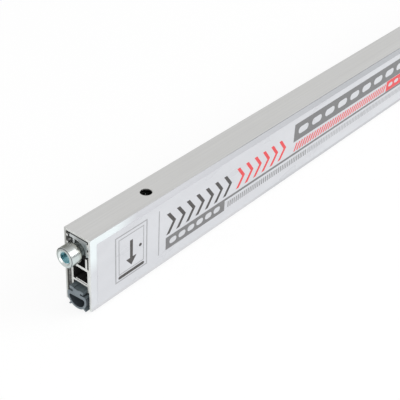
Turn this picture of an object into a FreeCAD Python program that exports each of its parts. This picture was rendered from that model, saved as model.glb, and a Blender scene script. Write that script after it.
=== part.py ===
import FreeCAD, Part
import math
import os

os.makedirs("parts", exist_ok=True)

# Millimetres. X runs along the bar and the plunger looks to -X, the film faces -Y.
# Z is 0 at the top face of the channel and the origin is the middle of that face.

# Aluminium channel, open underneath.
LENGTH = 430.0
WIDTH = 12.0
HEIGHT = 30.0
SIDE_WALL = 0.95
TOP_WALL = 0.9
EDGE_RADIUS = 0.25
RIB_REACH = 0.75
RIB_THICK = 0.9
UPPER_RIB_TOP = -2.1
LOWER_RIB_TOP = -5.1
HOLE_DIA = 4.4
HOLE_INSET = 33.3

# Film on the front face.
FILM_THICK = 0.1
FILM_INSET = 3.0
FILM_TOP = -2.9
FILM_BOTTOM = -28.5

# General clearances.
MOVE_GAP = 0.3
RUN_FIT = 0.05

# Drop bar, an extrusion with a box, two upright legs and a slot for the seal.
BAR_INSET = 1.0
BAR_HALF = 4.25
BAR_WALL = 0.9
BAR_TOP = -13.7
BAR_WEB = 1.0
BAR_BOTTOM = -24.25
BAR_FLOOR_TOP = -20.35
BAR_FLOOR_THICK = 0.8
STEP_SIDE = 2.2
STEP_HIGH = 0.7
LEG_INNER = 2.5
LEG_THICK = 0.85
LEG_TOP = -9.6
LIP_THICK = 0.65
LIP_INNER = 1.9

# Silicone seal: T head in the slot, hollow bulb and two side lips below.
SEAL_PROUD = 1.15
HEAD_HALF = 3.2
HEAD_THICK = 1.2
HEAD_GROOVE_HALF = 1.5
HEAD_GROOVE = 0.3
NECK_HALF = 1.75
BULB_TOP = BAR_BOTTOM - 0.15
SHOULDER_HALF = 3.8
BULB_HALF = 4.5
BULB_MID = -26.3
BULB_BOTTOM = -30.7
HOLLOW_TOP = -25.8
HOLLOW_SHOULDER = 3.1
HOLLOW_HALF = 3.65
HOLLOW_BOTTOM = -29.85
SIDE_LIP_ROOT = (2.5, -29.2)
SIDE_LIP_TIP = (4.0, -30.47)
SIDE_LIP_THICK = 0.6

# Steel rod that slides in the groove between the two ribs.
ROD_HALF = 4.7
ROD_THICK = 1.5
ROD_START = 14.0
WINDOW_HALF = 2.6

# Plunger block and its screw.
BLOCK_START = 0.5
BLOCK_END = 22.0
BLOCK_HALF = 4.0
BLOCK_TOP = -2.25
BLOCK_TONGUE_BOTTOM = -7.4
KEY_START = 6.0
WING_HALF = 4.75
WING_TOP = -6.25
WING_BOTTOM = -7.8
FRAME_THICK = 1.2
FRAME_TOP = -3.15
FRAME_SIDE = -3.4
BODY_SIDE = 0.6
RELIEF_DEPTH = 3.5
TAB_SIDES = (1.7, 2.5)
TAB_END = -5.1
SCREW_Z = -6.6
SCREW_SHANK_DIA = 5.0
SCREW_HEAD_DIA = 8.0
SCREW_HEAD_LONG = 4.7
SCREW_HEAD_RIM = 0.4
SCREW_FACE = -6.0
SCREW_SHANK_LONG = 13.8
SOCKET_ACROSS = 4.0
SOCKET_DEPTH = 2.6

# Two lift units. A long link runs from the rod to the drop bar and a short link
# from the middle of the long one to a bracket in the channel.
DROP = 12.0
UNIT_PLACES = (90.0, 340.0)
LONG_LINK = 34.0
PIVOT_Z = -6.5
BAR_PIVOT_Z = -12.0
LINK_HALF = 1.4
LINK_THICK = 1.3
LINK_SIDE_GAP = 0.2
PIN_DIA = 1.6
MID_BOSS = 1.9
MID_PLAY = 0.28
SLOT_PLAY = 0.1
SLOT_LONG = 0.61
CHEEK_INNER = 1.8
BRACKET_LONG = 9.0
BRACKET_CHEEK = 3.0
BRACKET_BOTTOM = -9.0
BRACKET_CORE = 4.0
BAR_BRACKET_TOP = -10.4
BAR_BRACKET_BASE = 1.5
FORK_HALF = 2.8
FORK_BACK = 12.0
FORK_BOTTOM = -8.0
FORK_BASE = 1.2

# Rivets.
RIVET_DIA = 2.0
RIVET_HEAD_DIA = 3.2
RIVET_HEAD = 0.6

# Return spring between a tab of the rod and a block fixed in the channel.
TAB_PLACE = 170.0
TAB_THICK = 1.5
TAB_HALF = 2.2
TAB_BOTTOM = -9.0
SPRING_LONG = 18.0
SPRING_Z = -7.1
SPRING_MEAN_RADIUS = 1.6
SPRING_WIRE = 0.5
SPRING_TURNS = 4
SPRING_END_GAP = 0.02
STOP_LONG = 5.0

X_START = -LENGTH / 2
X_END = LENGTH / 2
INNER_HALF = WIDTH / 2 - SIDE_WALL
RIB_TIP = INNER_HALF - RIB_REACH
GROOVE_TOP = UPPER_RIB_TOP - RIB_THICK
RIB_UNDER = LOWER_RIB_TOP - RIB_THICK
ROD_TOP = GROOVE_TOP - MOVE_GAP
ROD_UNDER = ROD_TOP - ROD_THICK
PIN_RADIUS = PIN_DIA / 2
LINK_RISE = PIVOT_Z - BAR_PIVOT_Z
REST_ANGLE = math.asin(LINK_RISE / LONG_LINK)
DOWN_ANGLE = math.asin((LINK_RISE + DROP) / LONG_LINK)
ROD_STROKE = LONG_LINK * (math.cos(REST_ANGLE) - math.cos(DOWN_ANGLE))
LIFT_X = [X_START + place for place in UNIT_PLACES]
FORK_X = [x - LONG_LINK * math.cos(REST_ANGLE) for x in LIFT_X]
ROD_END = FORK_X[1] + BRACKET_CHEEK


def block(x0, x1, y0, y1, z0, z1):
    """Box between two corners."""
    return Part.makeBox(x1 - x0, y1 - y0, z1 - z0, FreeCAD.Vector(x0, y0, z0))


def centred(x0, x1, half, z0, z1):
    """Box that is symmetric about the plane y = 0."""
    return block(x0, x1, -half, half, z0, z1)


def both_sides(x0, x1, inner, outer, z0, z1):
    """Two mirrored boxes, fused later with what lies between them."""
    return [block(x0, x1, inner, outer, z0, z1), block(x0, x1, -outer, -inner, z0, z1)]


def along_x(x0, x1, radius, z):
    """Cylinder on the plane y = 0, along the bar."""
    return Part.makeCylinder(radius, x1 - x0, FreeCAD.Vector(x0, 0, z), FreeCAD.Vector(1, 0, 0))


def along_y(x, z, radius, y0, y1):
    """Cylinder across the bar."""
    return Part.makeCylinder(radius, y1 - y0, FreeCAD.Vector(x, y0, z), FreeCAD.Vector(0, 1, 0))


def along_z(x, radius, z0, z1):
    """Upright cylinder on the plane y = 0."""
    return Part.makeCylinder(radius, z1 - z0, FreeCAD.Vector(x, 0, z0), FreeCAD.Vector(0, 0, 1))


def joined(shapes):
    """One clean solid from shapes that touch or overlap."""
    whole = shapes[0].fuse(shapes[1:])
    return whole.removeSplitter()


def make_housing():
    """Channel with two ribs inside each wall and two fixing holes on top."""
    outer = centred(X_START, X_END, WIDTH / 2, -HEIGHT, 0)
    long_edges = []
    for edge in outer.Edges:
        box = edge.BoundBox
        if box.XLength > LENGTH / 2 and box.ZMin > -EDGE_RADIUS:
            long_edges.append(edge)
    outer = outer.makeFillet(EDGE_RADIUS, long_edges)
    shell = outer.cut(centred(X_START - 1, X_END + 1, INNER_HALF, -HEIGHT - 1, -TOP_WALL))
    pieces = [shell]
    for top in (UPPER_RIB_TOP, LOWER_RIB_TOP):
        pieces += both_sides(X_START, X_END, RIB_TIP, INNER_HALF, top - RIB_THICK, top)
    shell = joined(pieces)
    for x in (X_START + HOLE_INSET, X_END - HOLE_INSET):
        shell = shell.cut(along_z(x, HOLE_DIA / 2, -TOP_WALL - 0.5, 1))
    return shell


def make_label():
    """Thin film on the front face."""
    y = -WIDTH / 2
    return block(X_START + FILM_INSET, X_END - FILM_INSET, y - FILM_THICK, y, FILM_BOTTOM, FILM_TOP)


def make_drop_bar():
    """Box section with two legs above and a T slot below."""
    x0 = X_START + BAR_INSET
    x1 = X_END - BAR_INSET
    inner = BAR_HALF - BAR_WALL
    floor_under = BAR_FLOOR_TOP - BAR_FLOOR_THICK
    bar = centred(x0, x1, BAR_HALF, BAR_BOTTOM, BAR_TOP)
    bar = bar.cut(centred(x0 - 1, x1 + 1, inner, BAR_FLOOR_TOP, BAR_TOP - BAR_WEB))
    bar = bar.cut(centred(x0 - 1, x1 + 1, inner, BAR_BOTTOM + LIP_THICK, floor_under))
    bar = bar.cut(centred(x0 - 1, x1 + 1, LIP_INNER, BAR_BOTTOM - 1, floor_under))
    pieces = [bar, block(x0, x1, -inner, STEP_SIDE, BAR_FLOOR_TOP, BAR_FLOOR_TOP + STEP_HIGH)]
    pieces += both_sides(x0, x1, LEG_INNER, LEG_INNER + LEG_THICK, BAR_TOP, LEG_TOP)
    bar = joined(pieces)
    for x in LIFT_X:
        bar = bar.cut(along_z(x + BRACKET_LONG - 3, RIVET_DIA / 2, BAR_TOP - 2, BAR_TOP + 1))
    return bar


def bulb_face(x, top, shoulder, half, mid, bottom):
    """Face of a D shape: flat top, rounded shoulders and a round belly."""
    def at(y, z):
        return FreeCAD.Vector(x, y, z)

    bend_y = half - 0.29 * (half - shoulder)
    bend_z = mid + 0.71 * (top - mid)
    edges = [Part.makeLine(at(-shoulder, top), at(shoulder, top))]
    edges.append(Part.Arc(at(shoulder, top), at(bend_y, bend_z), at(half, mid)).toShape())
    edges.append(Part.Arc(at(half, mid), at(0, bottom), at(-half, mid)).toShape())
    edges.append(Part.Arc(at(-half, mid), at(-bend_y, bend_z), at(-shoulder, top)).toShape())
    return Part.Face(Part.Wire(edges))


def side_lip(x0, x1, side):
    """Small lip that points down and outwards from the belly."""
    root_y, root_z = SIDE_LIP_ROOT
    tip_y, tip_z = SIDE_LIP_TIP
    run = math.hypot(tip_y - root_y, tip_z - root_z)
    off_y = -(tip_z - root_z) / run * SIDE_LIP_THICK / 2
    off_z = (tip_y - root_y) / run * SIDE_LIP_THICK / 2
    corners = [(root_y + off_y, root_z + off_z), (tip_y + off_y, tip_z + off_z),
               (tip_y - off_y, tip_z - off_z), (root_y - off_y, root_z - off_z)]
    loop = [FreeCAD.Vector(x0, side * y, z) for y, z in corners]
    face = Part.Face(Part.makePolygon(loop + [loop[0]]))
    return face.extrude(FreeCAD.Vector(x1 - x0, 0, 0))


def make_seal():
    """Hollow silicone profile."""
    x0 = X_START - SEAL_PROUD
    x1 = X_END + SEAL_PROUD
    span = FreeCAD.Vector(x1 - x0, 0, 0)
    seat = BAR_BOTTOM + LIP_THICK
    head = centred(x0, x1, HEAD_HALF, seat, seat + HEAD_THICK)
    groove = centred(x0 - 1, x1 + 1, HEAD_GROOVE_HALF, seat + HEAD_THICK - HEAD_GROOVE, seat + 3)
    neck = centred(x0, x1, NECK_HALF, BULB_TOP - 0.3, seat + 0.3)
    bulb = bulb_face(x0, BULB_TOP, SHOULDER_HALF, BULB_HALF, BULB_MID, BULB_BOTTOM).extrude(span)
    lips = [side_lip(x0, x1, 1), side_lip(x0, x1, -1)]
    hollow = bulb_face(x0 - 1, HOLLOW_TOP, HOLLOW_SHOULDER, HOLLOW_HALF, BULB_MID, HOLLOW_BOTTOM)
    whole = joined([bulb, neck, head.cut(groove)] + lips)
    return whole.cut(hollow.extrude(span + FreeCAD.Vector(2, 0, 0)))


def make_slider_rod():
    """Flat rod with a window under the fixing hole and a tab for the spring."""
    x0 = X_START + ROD_START
    hole_x = X_START + HOLE_INSET
    tab_x = X_START + TAB_PLACE
    rod = centred(x0, ROD_END, ROD_HALF, ROD_UNDER, ROD_TOP)
    window = centred(hole_x - WINDOW_HALF - ROD_STROKE, hole_x + WINDOW_HALF, WINDOW_HALF,
                     ROD_UNDER - 1, ROD_TOP + 1)
    tab = centred(tab_x, tab_x + TAB_THICK, TAB_HALF, TAB_BOTTOM, ROD_UNDER)
    rod = joined([rod.cut(window), tab])
    for x in plunger_rivet_places() + fork_rivet_places():
        rod = rod.cut(along_z(x, RIVET_DIA / 2, ROD_UNDER - 1, ROD_TOP + 1))
    return rod


def make_plunger_block():
    """Block that slides on the ribs, with the screw in its front."""
    x0 = X_START + BLOCK_START
    x1 = X_START + ROD_START
    x2 = X_START + BLOCK_END
    key_x = X_START + KEY_START
    leg_clear = LEG_TOP + MOVE_GAP
    nose_half = LEG_INNER - MOVE_GAP - RUN_FIT
    pieces = [centred(x0, x1, BLOCK_HALF, leg_clear, BLOCK_TOP)]
    pieces.append(centred(key_x, x1, ROD_HALF, ROD_UNDER, ROD_TOP))
    pieces.append(centred(x0, x1, WING_HALF, WING_BOTTOM, WING_TOP))
    pieces.append(centred(x0, x1, nose_half, leg_clear - 1.8, leg_clear))
    pieces.append(centred(x1, x2, BLOCK_HALF, BLOCK_TONGUE_BOTTOM, ROD_UNDER))
    body = joined(pieces)
    low = leg_clear - 3
    middle = block(x0 - 1, x0 + FRAME_THICK, FRAME_SIDE, BODY_SIDE, low, FRAME_TOP)
    corner = block(x0 - 1, x0 + RELIEF_DEPTH, BODY_SIDE, WING_HALF + 1, low, FRAME_TOP)
    tab_y0, tab_y1 = TAB_SIDES
    tab_radius = (tab_y1 - tab_y0) / 2
    tab_centre = FreeCAD.Vector(x0, tab_y0 + tab_radius, TAB_END + tab_radius)
    tab = block(x0, x0 + FRAME_THICK, tab_y0, tab_y1, tab_centre.z, FRAME_TOP)
    tab_tip = Part.makeCylinder(tab_radius, FRAME_THICK, tab_centre, FreeCAD.Vector(1, 0, 0))
    body = joined([body.cut(middle).cut(corner), tab, tab_tip])
    hole_end = x0 - BLOCK_START + SCREW_FACE + SCREW_HEAD_LONG + SCREW_SHANK_LONG + MOVE_GAP
    body = body.cut(along_x(x0 - 1, hole_end, SCREW_SHANK_DIA / 2 + RUN_FIT, SCREW_Z))
    for x in plunger_rivet_places():
        body = body.cut(along_z(x, RIVET_DIA / 2, BLOCK_TONGUE_BOTTOM - 1, ROD_UNDER + 1))
    return body


def make_screw():
    """Socket head screw, its thread drawn as a plain shank."""
    face_x = X_START + SCREW_FACE
    rear_x = face_x + SCREW_HEAD_LONG
    radius = SCREW_HEAD_DIA / 2
    head = along_x(face_x, rear_x, radius, SCREW_Z)
    rim = [edge for edge in head.Edges if edge.BoundBox.XMax < face_x + 0.1]
    head = head.makeChamfer(SCREW_HEAD_RIM, rim)
    shank = along_x(rear_x - 1, rear_x + SCREW_SHANK_LONG, SCREW_SHANK_DIA / 2, SCREW_Z)
    corner = SOCKET_ACROSS / math.sqrt(3)
    loop = []
    for k in range(6):
        turn = math.radians(60 * k + 30)
        loop.append(FreeCAD.Vector(face_x - 1, corner * math.cos(turn), SCREW_Z + corner * math.sin(turn)))
    socket = Part.Face(Part.makePolygon(loop + [loop[0]]))
    socket = socket.extrude(FreeCAD.Vector(SOCKET_DEPTH + 1, 0, 0))
    return joined([head, shank]).cut(socket)


def rivet(x, flush, seat, head):
    """Upright rivet, flush at one end, with its head on the seat at the other."""
    shank = along_z(x, RIVET_DIA / 2, min(flush, seat), max(flush, seat))
    cap = along_z(x, RIVET_HEAD_DIA / 2, min(seat, seat + head), max(seat, seat + head))
    return joined([shank, cap])


def plunger_rivet_places():
    return [X_START + ROD_START + 2.0, X_START + BLOCK_END - 2.0]


def fork_rivet_places():
    return [x - FORK_BACK + 4.0 for x in FORK_X]


def make_plunger_rivets():
    rivets = [rivet(x, BLOCK_TONGUE_BOTTOM, ROD_TOP, RIVET_HEAD) for x in plunger_rivet_places()]
    return Part.makeCompound(rivets)


def make_fork_rivets():
    under = ROD_UNDER - FORK_BASE
    return Part.makeCompound([rivet(x, under, ROD_TOP, RIVET_HEAD) for x in fork_rivet_places()])


def make_bar_rivets():
    over = BAR_TOP + BAR_BRACKET_BASE
    under = BAR_TOP - BAR_WEB
    places = [x + BRACKET_LONG - 3 for x in LIFT_X]
    return Part.makeCompound([rivet(x, over, under, -RIVET_HEAD) for x in places])


def make_fork(x):
    """Fork under the rod that pushes the upper end of a long link."""
    slot_start = x - BRACKET_CHEEK - 0.5
    end = x + BRACKET_CHEEK - 1
    fork = centred(x - FORK_BACK, end, FORK_HALF, FORK_BOTTOM, ROD_UNDER)
    fork = fork.cut(centred(slot_start, end + 1, CHEEK_INNER, FORK_BOTTOM - 1, ROD_UNDER + 1))
    fork = fork.cut(centred(x - FORK_BACK - 1, slot_start - 0.8, FORK_HALF + 1,
                            FORK_BOTTOM - 1, ROD_UNDER - FORK_BASE))
    fork = fork.cut(along_y(x, PIVOT_Z, PIN_RADIUS, -FORK_HALF - 1, FORK_HALF + 1))
    for rivet_x in fork_rivet_places():
        fork = fork.cut(along_z(rivet_x, RIVET_DIA / 2, ROD_UNDER - 3, ROD_UNDER + 1))
    return fork


def fixed_section(x0, x1):
    """Section that sits between the walls under the lower ribs."""
    core = centred(x0, x1, BRACKET_CORE, BRACKET_BOTTOM, ROD_UNDER - MOVE_GAP)
    return joined([core, centred(x0, x1, INNER_HALF, BRACKET_BOTTOM, RIB_UNDER)])


def make_lift_bracket(x):
    """Bracket fixed in the channel that holds the short link."""
    whole = fixed_section(x - BRACKET_CHEEK, x + BRACKET_LONG)
    gap = centred(x - BRACKET_CHEEK - 1, x + BRACKET_CHEEK, CHEEK_INNER, BRACKET_BOTTOM - 1, 0)
    hole = along_y(x, PIVOT_Z, PIN_RADIUS, -INNER_HALF, INNER_HALF)
    return whole.cut(gap).cut(hole)


def make_bar_bracket(x):
    """Bracket between the legs of the drop bar that holds the long link."""
    whole = centred(x - BRACKET_CHEEK, x + BRACKET_LONG, LEG_INNER, BAR_TOP, BAR_BRACKET_TOP)
    gap = centred(x - BRACKET_CHEEK - 1, x + BRACKET_CHEEK, CHEEK_INNER, BAR_TOP - 1, BAR_BRACKET_TOP + 1)
    above = centred(x + BRACKET_CHEEK - 1, x + BRACKET_LONG + 1, LEG_INNER + 1,
                    BAR_TOP + BAR_BRACKET_BASE, BAR_BRACKET_TOP + 1)
    whole = whole.cut(gap).cut(above)
    whole = whole.cut(along_y(x, BAR_PIVOT_Z, PIN_RADIUS, -LEG_INNER - 1, LEG_INNER + 1))
    return whole.cut(along_z(x + BRACKET_LONG - 3, RIVET_DIA / 2, BAR_TOP - 1, BAR_BRACKET_TOP))


def link_plate(length, y0, y1):
    """Flat link along +X with round ends, its first eye at the origin."""
    plate = block(0, length, y0, y1, -LINK_HALF, LINK_HALF)
    return plate.fuse([along_y(0, 0, LINK_HALF, y0, y1), along_y(length, 0, LINK_HALF, y0, y1)])


def placed(shape, x, z, angle):
    """Turn about the Y axis through the origin, then move to a pivot."""
    shape = shape.copy()
    shape.rotate(FreeCAD.Vector(0, 0, 0), FreeCAD.Vector(0, 1, 0), math.degrees(angle))
    shape.translate(FreeCAD.Vector(x, 0, z))
    return shape


def make_long_link(x):
    """Link from the drop bar pivot up to the fork, with a slotted upper eye."""
    y0 = -LINK_SIDE_GAP - LINK_THICK
    y1 = -LINK_SIDE_GAP
    half = LONG_LINK / 2
    slot_radius = PIN_RADIUS + SLOT_PLAY
    link = link_plate(LONG_LINK, y0, y1).fuse(along_y(half, 0, MID_BOSS, y0, y1)).removeSplitter()
    link = link.cut(along_y(0, 0, PIN_RADIUS + RUN_FIT, y0 - 1, y1 + 1))
    link = link.cut(along_y(half, 0, PIN_RADIUS + MID_PLAY, y0 - 1, y1 + 1))
    slot = [along_y(LONG_LINK, 0, slot_radius, y0 - 1, y1 + 1)]
    slot.append(along_y(LONG_LINK - SLOT_LONG, 0, slot_radius, y0 - 1, y1 + 1))
    slot.append(block(LONG_LINK - SLOT_LONG, LONG_LINK, y0 - 1, y1 + 1, -slot_radius, slot_radius))
    link = link.cut(joined(slot))
    return placed(link, x, BAR_PIVOT_Z, math.pi + REST_ANGLE)


def make_short_link(x):
    """Link from the fixed bracket to the middle of the long link."""
    y0 = LINK_SIDE_GAP
    y1 = LINK_SIDE_GAP + LINK_THICK
    half = LONG_LINK / 2
    link = link_plate(half, y0, y1).removeSplitter()
    link = link.cut(along_y(0, 0, PIN_RADIUS + RUN_FIT, y0 - 1, y1 + 1))
    link = link.cut(along_y(half, 0, PIN_RADIUS, y0 - 1, y1 + 1))
    return placed(link, x, PIVOT_Z, math.pi - REST_ANGLE)


def make_centre_pin(x):
    """Pin fixed in the short link, with a head beyond the long link."""
    outer = LINK_SIDE_GAP + LINK_THICK
    half = LONG_LINK / 2
    pin = along_y(half, 0, PIN_RADIUS, -outer - MOVE_GAP, outer)
    head = along_y(half, 0, PIN_RADIUS + 0.7, -outer - MOVE_GAP - 0.4, -outer - MOVE_GAP)
    return placed(joined([pin, head]), x, PIVOT_Z, math.pi - REST_ANGLE)


def make_spring_stop():
    """Block fixed in the channel behind the spring."""
    x = X_START + TAB_PLACE + TAB_THICK + SPRING_LONG
    return fixed_section(x, x + STOP_LONG)


def make_return_spring():
    """Coil of square wire that pushes the rod back towards the plunger end."""
    wire = SPRING_WIRE / 2
    inset = wire + SPRING_END_GAP
    height = SPRING_LONG - 2 * inset
    helix = Part.makeHelix(height / SPRING_TURNS, height, SPRING_MEAN_RADIUS)
    near = SPRING_MEAN_RADIUS - wire
    far = SPRING_MEAN_RADIUS + wire
    loop = [FreeCAD.Vector(r, 0, z) for r, z in ((near, -wire), (far, -wire), (far, wire), (near, wire))]
    section = Part.makePolygon(loop + [loop[0]])
    coil = Part.Wire(helix).makePipeShell([section], True, True)
    coil.rotate(FreeCAD.Vector(0, 0, 0), FreeCAD.Vector(0, 1, 0), 90)
    coil.translate(FreeCAD.Vector(X_START + TAB_PLACE + TAB_THICK + inset, 0, SPRING_Z))
    return coil


def save(name, shape):
    shape.exportStep("parts/" + name + ".step")


save("housing", make_housing())
save("label", make_label())
save("drop_bar", make_drop_bar())
save("seal", make_seal())
save("slider_rod", make_slider_rod())
save("plunger_block", make_plunger_block())
save("adjusting_screw", make_screw())
save("plunger_rivets", make_plunger_rivets())
save("fork_rivets", make_fork_rivets())
save("bar_rivets", make_bar_rivets())
save("spring_stop", make_spring_stop())
save("return_spring", make_return_spring())
for unit, (lift_x, fork_x) in enumerate(zip(LIFT_X, FORK_X), start=1):
    tail = "_" + str(unit)
    save("slider_fork" + tail, make_fork(fork_x))
    save("fork_pin" + tail, along_y(fork_x, PIVOT_Z, PIN_RADIUS, -FORK_HALF, FORK_HALF))
    save("lift_bracket" + tail, make_lift_bracket(lift_x))
    save("bracket_pin" + tail, along_y(lift_x, PIVOT_Z, PIN_RADIUS, -BRACKET_CORE, BRACKET_CORE))
    save("bar_bracket" + tail, make_bar_bracket(lift_x))
    save("bar_pin" + tail, along_y(lift_x, BAR_PIVOT_Z, PIN_RADIUS, -LEG_INNER, LEG_INNER))
    save("long_link" + tail, make_long_link(lift_x))
    save("short_link" + tail, make_short_link(lift_x))
    save("centre_pin" + tail, make_centre_pin(lift_x))
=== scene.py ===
import math

import bmesh
import bpy
from mathutils import Matrix, Vector


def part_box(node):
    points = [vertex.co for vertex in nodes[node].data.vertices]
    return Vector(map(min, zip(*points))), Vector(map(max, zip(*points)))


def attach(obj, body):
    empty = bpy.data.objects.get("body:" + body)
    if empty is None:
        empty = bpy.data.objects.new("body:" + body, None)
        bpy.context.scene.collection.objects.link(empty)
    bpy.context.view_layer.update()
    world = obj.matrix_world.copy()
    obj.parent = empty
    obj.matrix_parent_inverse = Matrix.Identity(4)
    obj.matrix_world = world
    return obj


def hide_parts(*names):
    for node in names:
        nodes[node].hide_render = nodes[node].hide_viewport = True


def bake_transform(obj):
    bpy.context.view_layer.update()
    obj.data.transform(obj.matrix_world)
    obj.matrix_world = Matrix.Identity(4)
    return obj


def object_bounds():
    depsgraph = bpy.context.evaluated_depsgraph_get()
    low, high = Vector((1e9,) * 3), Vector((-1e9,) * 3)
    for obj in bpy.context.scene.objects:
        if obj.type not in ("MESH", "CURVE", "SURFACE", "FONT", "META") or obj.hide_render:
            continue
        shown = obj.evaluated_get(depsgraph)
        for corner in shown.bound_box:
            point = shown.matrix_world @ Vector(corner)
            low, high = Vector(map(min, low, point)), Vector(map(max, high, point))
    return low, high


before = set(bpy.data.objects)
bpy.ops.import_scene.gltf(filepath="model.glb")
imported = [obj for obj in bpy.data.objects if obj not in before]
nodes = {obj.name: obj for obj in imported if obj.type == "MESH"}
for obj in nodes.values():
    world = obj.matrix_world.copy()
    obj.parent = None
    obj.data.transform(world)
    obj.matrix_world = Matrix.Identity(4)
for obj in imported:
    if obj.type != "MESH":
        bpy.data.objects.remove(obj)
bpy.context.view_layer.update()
scene = bpy.context.scene
MM = 0.001


# Camera: it stands before the open end of the bar, to the left and above, and
# the bar runs away from it to the upper right. Lengths are in millimetres.
CAMERA_PLACE = Vector((-398.8, -194.5, 199.4))
AZIMUTH = math.radians(51.83)
ELEVATION = math.radians(34.74)
ROLL = math.radians(-2.90)
FOCAL_LENGTH = 92.0
camera_data = bpy.data.cameras.new("camera")
camera_data.lens = FOCAL_LENGTH
camera_data.sensor_width = 36.0
camera_data.clip_start = 0.01
camera = bpy.data.objects.new("camera", camera_data)
scene.collection.objects.link(camera)
look = Vector((math.sin(AZIMUTH) * math.cos(ELEVATION), math.cos(AZIMUTH) * math.cos(ELEVATION),
               -math.sin(ELEVATION)))
flat_right = Vector((math.cos(AZIMUTH), -math.sin(AZIMUTH), 0))
down = look.cross(flat_right)
right = math.cos(ROLL) * flat_right + math.sin(ROLL) * down
below = -math.sin(ROLL) * flat_right + math.cos(ROLL) * down
turn = Matrix((right, -below, -look)).transposed().to_4x4()
camera.matrix_world = Matrix.Translation(CAMERA_PLACE * MM) @ turn
scene.camera = camera
scene.view_settings.view_transform = "Standard"


# Housing: a channel of extruded aluminium, open underneath, with two ribs along
# each inner wall. It is sawn to length, and a chamfered hole near each end takes
# a wood screw up into the door.
START, END = (corner[0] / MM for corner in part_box("housing"))
HALF_WIDTH = 6.0
HEIGHT = 30.0
INNER = 5.05
CEILING = -0.9
RIB_TIP = 4.3
RIBS = ((-6.0, -5.1), (-3.0, -2.1))
HOLE_INSET = 33.3
HOLE_RADIUS = 2.2
HOLE_CHAMFER = 0.13
TOP_CORNER = 0.25
SMALL_CORNER = 0.1
SAWN_EDGE = 0.06


def rounded(points, radius, steps=3):
    """Closed outline with each corner turned into a short arc. A third number is a corner's own radius."""
    result = []
    count = len(points)
    for index in range(count):
        corner = Vector(points[index][:2])
        before = Vector(points[index - 1][:2]) - corner
        after = Vector(points[(index + 1) % count][:2]) - corner
        wanted = points[index][2] if len(points[index]) > 2 else radius
        reach = min(wanted, 0.4 * before.length, 0.4 * after.length)
        start = corner + before.normalized() * reach
        end = corner + after.normalized() * reach
        for step in range(steps + 1):
            part = step / steps
            point = (1 - part) ** 2 * start + 2 * part * (1 - part) * corner + part ** 2 * end
            result.append((point.x, point.y))
    return result


def mirrored(half):
    """Closed outline in the (y, z) plane from the half of it at +Y."""
    return half + [(-point[0], *point[1:]) for point in reversed(half)]


def filled(name, outlines, thick, edge=0.0):
    """Mesh of flat outlines, the inner ones as holes, given a thickness about the plane and soft rims."""
    curve = bpy.data.curves.new(name, "CURVE")
    curve.dimensions = "2D"
    curve.fill_mode = "BOTH"
    curve.extrude = (thick / 2 - edge) * MM
    curve.bevel_depth = edge * MM
    curve.bevel_resolution = 1
    curve.offset = -edge * MM
    for outline in outlines:
        spline = curve.splines.new("POLY")
        spline.points.add(len(outline) - 1)
        for point, (u, v) in zip(spline.points, outline):
            point.co = (u * MM, v * MM, 0, 1)
        spline.use_cyclic_u = True
    holder = bpy.data.objects.new(name + "_curve", curve)
    scene.collection.objects.link(holder)
    graph = bpy.context.evaluated_depsgraph_get()
    mesh = bpy.data.meshes.new_from_object(holder.evaluated_get(graph))
    bpy.data.objects.remove(holder)
    return mesh


def cleaned(mesh, smooth=35):
    """Merges a mesh's doubles, turns its faces outwards and keeps edges past an angle sharp."""
    work = bmesh.new()
    work.from_mesh(mesh)
    bmesh.ops.remove_doubles(work, verts=work.verts, dist=1e-7)
    bmesh.ops.recalc_face_normals(work, faces=work.faces)
    for face in work.faces:
        face.smooth = True
    for line in work.edges:
        line.smooth = line.calc_face_angle(0) < math.radians(smooth)
    work.to_mesh(mesh)
    work.free()


def from_mesh(name, mesh, smooth=35):
    """New object with a cleaned mesh."""
    cleaned(mesh, smooth)
    piece = bpy.data.objects.new(name, mesh)
    scene.collection.objects.link(piece)
    return piece


def extrusion(name, outlines, x0, x1, edge):
    """Outlines in the (y, z) plane run along X, with softened cut ends."""
    mesh = filled(name, outlines, x1 - x0, edge)
    mesh.transform(Matrix(((0, 0, 1, 0), (1, 0, 0, 0), (0, 1, 0, 0), (0, 0, 0, 1))))
    mesh.transform(Matrix.Translation(((x0 + x1) / 2 * MM, 0, 0)))
    return from_mesh(name, mesh)


def lathe(name, profile, axis_point, axis, steps=64):
    """Solid of revolution. The profile is (distance along the axis, radius)."""
    work = bmesh.new()
    verts = [work.verts.new((radius * MM, 0, along * MM)) for along, radius in profile]
    for first, second in zip(verts, verts[1:]):
        work.edges.new((first, second))
    bmesh.ops.spin(work, geom=work.verts[:] + work.edges[:], cent=(0, 0, 0), axis=(0, 0, 1),
                   angle=2 * math.pi, steps=steps)
    bmesh.ops.remove_doubles(work, verts=work.verts, dist=1e-7)
    bmesh.ops.recalc_face_normals(work, faces=work.faces)
    mesh = bpy.data.meshes.new(name)
    work.to_mesh(mesh)
    work.free()
    mesh.transform(Vector((0, 0, 1)).rotation_difference(Vector(axis)).to_matrix().to_4x4())
    mesh.transform(Matrix.Translation(Vector(axis_point) * MM))
    return from_mesh(name, mesh)


def baked(piece):
    """Applies a piece's modifiers for good."""
    graph = bpy.context.evaluated_depsgraph_get()
    mesh = bpy.data.meshes.new_from_object(piece.evaluated_get(graph))
    piece.modifiers.clear()
    piece.data = mesh


def cut(piece, tool, how="DIFFERENCE"):
    """Takes one mesh out of another for good, or joins it on."""
    saw = piece.modifiers.new("cut", "BOOLEAN")
    saw.operation = how
    saw.object = tool
    saw.solver = "EXACT"
    baked(piece)
    bpy.data.objects.remove(tool)


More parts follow.
